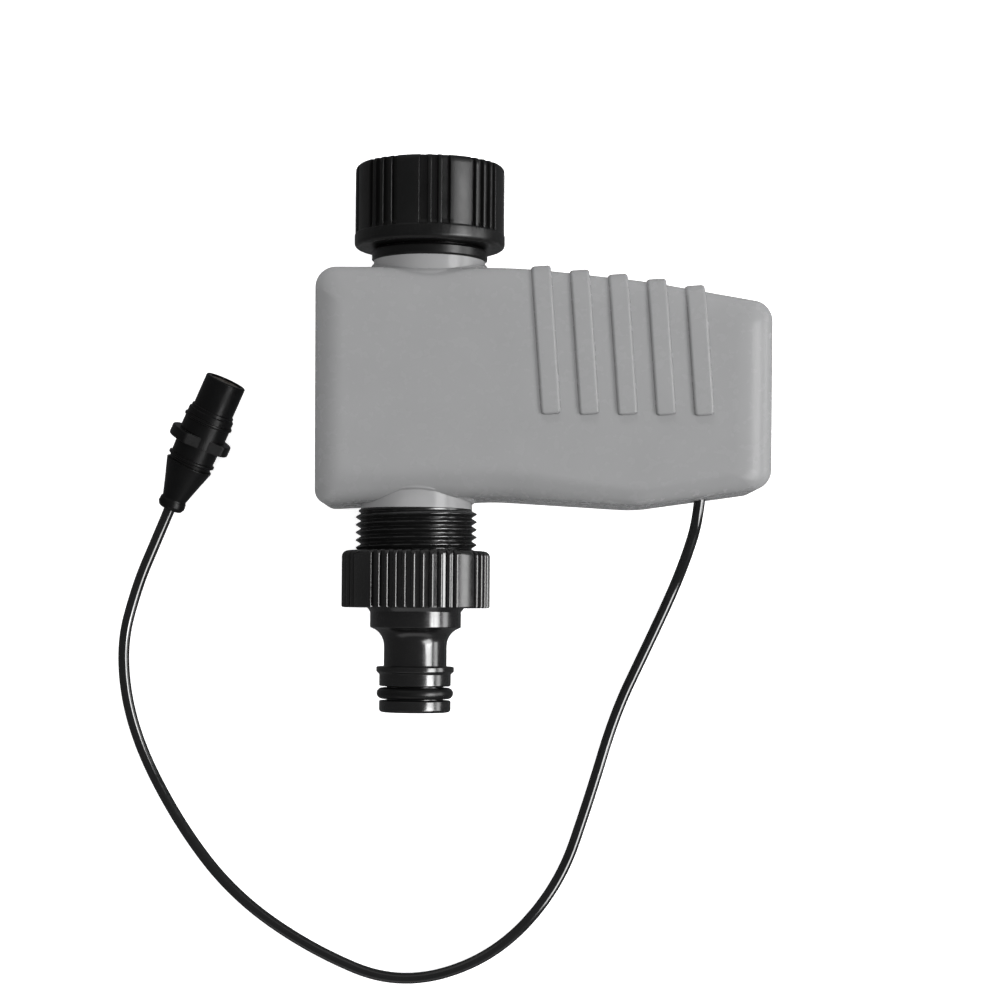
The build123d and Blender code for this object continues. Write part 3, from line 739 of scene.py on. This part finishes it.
def nut_profile():
    """Up the outside of the nut, over its rim, down the thread and back along the bore."""
    low, high = nut_centre.y - nut_half.y, nut_centre.y + nut_half.y
    tall = nut_half.x
    floor = tall - 1.0
    flange_top = low + 3.0
    profile = plain([(NUT_BORE, low), (14.9, low)])
    for step in range(1, 7):
        turn = math.pi / 2 * step / 6
        profile.append((tall - 1.1 + 1.1 * math.sin(turn), low + 1.1 - 1.1 * math.cos(turn), 0.0))
    profile += plain([(tall, flange_top - 0.25), (tall - 0.08, flange_top - 0.05)])
    for share in (0.25, 0.5, 0.75, 1.0):
        radius = tall - 0.1 - share * 0.9
        profile.append((radius, flange_top + 1.2 * share ** 2, tall - 0.15 - radius))
    profile += [(floor, high - 1.6, 0.85), (floor, high - 0.7, 0.8), (floor - 0.05, high - 0.3, 0.62),
                (floor - 0.2, high - 0.05, 0.45), (floor - 0.4, high, 0.3)]
    thread_high, thread_low = high - 0.7, high - 11.0
    profile += plain([(13.4, high), (NUT_THREAD_RADIUS, thread_high)])
    for row in range(NUT_THREAD_ROWS + 1):
        y = thread_high + (thread_low - thread_high) * row / NUT_THREAD_ROWS
        profile.append((NUT_THREAD_RADIUS, y, nut_helix))
    return profile + plain([(NUT_THREAD_RADIUS, thread_low - 0.1), (NUT_THREAD_RADIUS, low + 2.5),
                            (NUT_BORE, low + 2.5)])


def make_nut():
    """The profile turned about the pipe, with the grip outside and the thread inside."""
    bars = nut_bars()
    nut = turned("swivel_nut", nut_profile(), INLET_X, bar_angles(bars, NUT_SHOULDER),
                 bar_relief(bars, NUT_SHOULDER))
    dress(smooth(nut, 40), "black_plastic", "inlet_nut", ["inlet_nut"])


make_nut()


# ---------------------------------------------------------------- outlet thread

THREAD_START = 0.98
THREAD_HEIGHT = 1.08
THREAD_TOP = -26.1
THREAD_ROWS_PER_TURN = 14
THREAD_SIDES = 120


def circle(radius, y):
    """A plain ring about the outlet."""
    return [pipe_point(radius, y, 360 * side / THREAD_SIDES, OUTLET_X) for side in range(THREAD_SIDES)]


def make_thread():
    """The helix fades out at both ends. Inside, the bore narrows to the ball's seat."""
    low = thread_centre.y - thread_half.y
    root_radius = thread_half.x - THREAD_HEIGHT
    rows = int((THREAD_TOP - low) / THREAD_PITCH * THREAD_ROWS_PER_TURN)
    rings = [circle(9.0, THREAD_TOP)]
    for row in range(rows + 1):
        y = THREAD_TOP + (low - THREAD_TOP) * row / rows
        fade = max(0.0, min(1.0, (THREAD_TOP - y) / 0.7, (y - low) / 0.9))
        ring = []
        for side in range(THREAD_SIDES):
            share = crest(y / THREAD_PITCH - side / THREAD_SIDES + THREAD_START)
            radius = root_radius + THREAD_HEIGHT * share * fade
            ring.append(pipe_point(radius, y, 360 * side / THREAD_SIDES, OUTLET_X))
        rings.append(ring)
    for radius, y in [(9.0, low), (9.0, -30.0), (6.2, -27.0), (6.2, -9.45), (9.0, -9.45)]:
        rings.append(circle(radius, y))
    thread = smooth(ring_mesh("outlet_screw", rings, loop=True), 50)
    dress(thread, "black_gloss", stands_for=["outlet_thread"])


make_thread()


# ---------------------------------------------------------------- hose connector

ADAPTER_RIBS = 50
ADAPTER_FLATS = (43.5, 135, 225, 315.5)
ADAPTER_FLAT_HALF = 10.2
ADAPTER_RIB_HALF = 2.2
ADAPTER_NEAREST_RIB = 9.0
ADAPTER_SHOULDER = 1.9
ADAPTER_EDGE = 1.3


def adapter_bars():
    """Four smooth flats and the fine ribs between them, as (centre, half width). A rib whose
    place is too near the middle of a flat is left out."""
    bars = [(flat, ADAPTER_FLAT_HALF) for flat in ADAPTER_FLATS]
    for index in range(ADAPTER_RIBS):
        angle = 360 * index / ADAPTER_RIBS
        nearest = min(abs((angle - flat + 180) % 360 - 180) for flat in ADAPTER_FLATS)
        if nearest > ADAPTER_NEAREST_RIB:
            bars.append((angle, ADAPTER_RIB_HALF))
    return bars


def make_adapter():
    """A ribbed grip with the hose nipple below it. Its profile runs up over the grip's edge,
    down to the nipple's end and back up the bore."""
    tall = adapter_half.x
    floor = tall - 0.85
    top, low = -35.2, -47.6
    profile = plain([(13.4, top - 0.6), (13.9, top)])
    for step in range(7):
        turn = math.pi / 2 * step / 6
        envelope = tall - ADAPTER_EDGE + ADAPTER_EDGE * math.sin(turn)
        base = min(envelope, floor - 0.5 * (1 - math.sin(turn)))
        profile.append((base, top - ADAPTER_EDGE + ADAPTER_EDGE * math.cos(turn), envelope - base))
    profile += [(floor, low + 0.35, tall - floor), (floor - 0.1, low + 0.08, tall - floor - 0.05),
                (floor - 0.3, low, tall - floor - 0.15)]
    nose = rounded([
        (10.6, low, 0.5), (9.93, -48.5, 0.3), (9.93, -51.9, 0.3), (6.86, -52.9, 4.1),
        (6.86, -60.4, 0.25), (8.48, -60.4, 0.3), (8.48, -61.5, 0.3), (7.82, -62.1, 0.25),
        (7.82, -64.7, 0.3), (6.2, -64.7, 0.15), (6.2, -67.8, 0.15), (7.82, -67.8, 0.3),
        (7.82, -70.4, 0.7), (5.2, -70.4, 0.3),
        (5.2, low - 0.05, 0.2), (13.4, low + 0.15, 0.2), (13.4, top - 1.0, 0.1),
    ], 5)
    profile += plain(nose)
    bars = adapter_bars()
    adapter = turned("hose_connector", profile, OUTLET_X, bar_angles(bars, ADAPTER_SHOULDER),
                     bar_relief(bars, ADAPTER_SHOULDER))
    dress(smooth(adapter, 35), "black_gloss", "hose_adapter", ["hose_adapter"])


make_adapter()


# ---------------------------------------------------------------- plug

PLUG_HEADING = 24.9
PLUG_LIFT = 10.0
PLUG_ROLL = 21.0
PLUG_LENGTH = 31.6
PLUG_CORNER_STEPS = 5
EAR_RADIUS = 6.95
EAR_FLAT = 5.15
EAR_SIDES = 144


def plug_matrix():
    """From the plug's own frame, with its axis on +Z and its tail at the origin."""
    heading, lift = math.radians(PLUG_HEADING), math.radians(PLUG_LIFT)
    axis = Vector((math.cos(lift) * math.sin(heading), math.cos(lift) * math.cos(heading), math.sin(lift)))
    side = Vector((math.cos(heading), -math.sin(heading), 0))
    turn = Matrix((side, axis.cross(side), axis)).transposed().to_4x4()
    return Matrix.Translation(LEAD_ROUTE[-1]) @ turn


def plug_turned(name, profile, sides=64, radius_at=None):
    """Turned about the plug's axis, from (radius, distance) points round the whole section."""
    place = plug_matrix()
    rings = []
    for radius, distance in profile:
        ring = []
        for side in range(sides):
            angle = 2 * math.pi * side / sides
            reach = radius_at(angle, radius) if radius_at else radius
            ring.append(place @ Vector((reach * math.cos(angle), reach * math.sin(angle), distance)))
        rings.append(ring)
    return ring_mesh(name, rings)


def solid_profile(corners):
    """The outer side of a turned solid, with its corners rounded; both ends lie on the axis."""
    first, last = corners[0], corners[-1]
    outline = rounded([(0.01, first[1], 0), *corners, (0.01, last[1], 0)], PLUG_CORNER_STEPS)
    return [(p.x, p.y) for p in outline]


def ear_reach(angle, radius):
    """The round flange is cut to two ears by a pair of flats."""
    flat = EAR_FLAT / max(1e-6, abs(math.sin(angle - math.radians(PLUG_ROLL))))
    return min(radius, max(EAR_FLAT, flat))


def make_boot():
    boot = plug_turned("plug_strain_relief", solid_profile([
        (2.6, 0, 0.5), (3.1, 0.9, 0.5), (3.0, 2.0, 0.3), (2.75, 2.5, 0.5), (3.9, 6.4, 8.0),
        (5.1, 10.2, 3.0), (5.35, 11.0, 0.15), (4.9, 11.05, 0.05)]))
    dress(smooth(boot), "plug_plastic", stands_for=["plug_boot"])


def make_plug_body():
    body = plug_turned("plug_shell", solid_profile([
        (4.8, 11.05, 0.1), (4.8, 11.9, 0.1), (5.35, 12.05, 0.12), (5.35, 12.55, 0.12), (4.9, 12.75, 0.1),
        (5.0, 15.9, 0.1), (5.25, 15.95, 0.1), (5.25, 23.5, 0.3), (4.9, 23.65, 0.1), (4.9, 24.3, 0.1),
        (4.6, 24.45, 0.1), (4.6, PLUG_LENGTH, 0.35), (3.55, PLUG_LENGTH, 0.1),
        (3.5, PLUG_LENGTH - 3.0, 0.05)]))
    ears = plug_turned("ears", solid_profile([
        (4.0, 15.9, 0), (EAR_RADIUS, 15.9, 0.35), (EAR_RADIUS, 18.3, 0.35), (4.0, 18.3, 0)]),
        EAR_SIDES, ear_reach)
    combine(body, ears, "UNION")
    dress(smooth(body), "plug_plastic", stands_for=["plug_body"])


def make_plug_seal():
    seal = plug_turned("plug_ridge", [
        (5.1, 21.25), (5.5, 21.4), (5.6, 21.6), (5.6, 21.8), (5.5, 22.0), (5.1, 22.15)])
    dress(smooth(seal), "plug_plastic", stands_for=["plug_seal"])


make_boot()
make_plug_body()
make_plug_seal()


# ---------------------------------------------------------------- the lead's own finish

lead.data.materials.append(MATERIALS["lead_jacket"])
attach(lead, HOUSING)
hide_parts("cable")


# ---------------------------------------------------------------- finishes of the CAD nodes that stay

CAD_FINISH = {
    "neck": ["valve_body"],
    "black_plastic": ["inlet_spigot"],
    "seal_rubber": ["housing_seal", "neck_seals", "inlet_washer", "stem_orings", "adapter_washer"],
    "ring_rubber": ["nipple_oring"],
    "screw_steel": ["housing_screws", "gearbox_screws", "second_idler_axle", "first_idler_axle",
                    "gearhead_shaft", "motor_screws"],
    "filter_steel": ["inlet_filter"],
    "seat_plastic": ["inlet_seat", "outlet_seat"],
    "ball_steel": ["ball"],
    "brass": ["stem", "gland_bush", "drive_pinion", "motor_terminals", "plug_contacts"],
    "plate_steel": ["gearbox_plate_inner", "gearbox_plate_outer", "gearbox_pillars", "gearhead_case",
                    "motor_can"],
    "gear_plastic": ["output_gear", "position_cam", "first_idler", "second_idler"],
    "switch_plastic": ["limit_switches", "motor_end_cap", "board_components"],
    # The insert's face takes the lightened plastic, whose tone is partly painted light.
    "plug_face_painted_light": ["plug_insert"],
    "board": ["circuit_board"],
    "wire": ["inner_wires"],
    "lead_jacket": ["cable_grommet"],
}
for finish, names in CAD_FINISH.items():
    for name in names:
        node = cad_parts[name]
        node.data.materials.clear()
        node.data.materials.append(MATERIALS[finish])


# ---------------------------------------------------------------- floor, light and world

FLOOR_GLOW = 0.7
WORLD_BRIGHTNESS = 0.12
LIT_POINT = Vector((0.02, -0.02, 0.02))
FLOOR_HALF = 3.0


def make_floor():
    mesh = bpy.data.meshes.new("floor")
    corners = [(u * FLOOR_HALF, v * FLOOR_HALF, 0) for u, v in ((-1, -1), (1, -1), (1, 1), (-1, 1))]
    mesh.from_pydata(corners, [], [(0, 1, 2, 3)])
    floor = add_object("floor", mesh)
    material, nodes, links, shader = node_material("floor")
    links.new(tint(nodes, links, noise(nodes, links, 3), (0.86, 0.86, 0.86), (0.88, 0.88, 0.88)),
              shader.inputs["Base Color"])
    shader.inputs["Roughness"].default_value = 0.9
    shader.inputs["Emission Color"].default_value = (1, 1, 1, 1)
    shader.inputs["Emission Strength"].default_value = FLOOR_GLOW
    mesh.materials.append(material)
    floor.visible_glossy = False


def soft_box(name, place, width, height, brightness, in_reflections=True, in_diffuse=True):
    """A rectangular light that faces the object and looks equally bright whatever its size."""
    data = bpy.data.lights.new(name, "AREA")
    data.shape = "RECTANGLE"
    data.size = width
    data.size_y = height
    data.energy = brightness * math.pi * width * height
    light = add_object(name, data)
    light.location = place
    light.rotation_euler = (LIT_POINT - Vector(place)).to_track_quat("-Z", "Y").to_euler()
    light.visible_glossy = in_reflections
    light.visible_diffuse = in_diffuse


def make_light():
    """Windows to the right and the far side, pale walls all round, and a wide ceiling."""
    soft_box("key", (0.94, -0.02, 0.74), 0.7, 0.46, 12)
    soft_box("right_wall", (1.2, 0.0, 0.17), 1.0, 0.34, 5.0, in_diffuse=False)
    soft_box("side_window", (0.85, -0.48, 0.72), 0.6, 0.6, 9, in_diffuse=False)
    soft_box("far_window", (-0.08, 0.95, 0.4), 0.1, 0.05, 190, in_reflections=False)
    soft_box("far_wall", (0.0, 0.95, 0.5), 1.8, 1.0, 0.25)
    soft_box("near_wall", (0.0, -1.2, 0.3), 1.8, 0.5, 0.5)
    soft_box("ceiling", (0.0, 0.0, 1.6), 1.6, 1.6, 2.55, in_reflections=False)
    world = bpy.data.worlds.new("studio")
    world.use_nodes = True
    world.node_tree.nodes["Background"].inputs["Color"].default_value = (0.97, 0.98, 1.0, 1)
    world.node_tree.nodes["Background"].inputs["Strength"].default_value = WORLD_BRIGHTNESS
    scene = bpy.context.scene
    scene.world = world
    scene.view_settings.view_transform = "Standard"
    scene.view_settings.look = "None"


make_floor()
make_light()
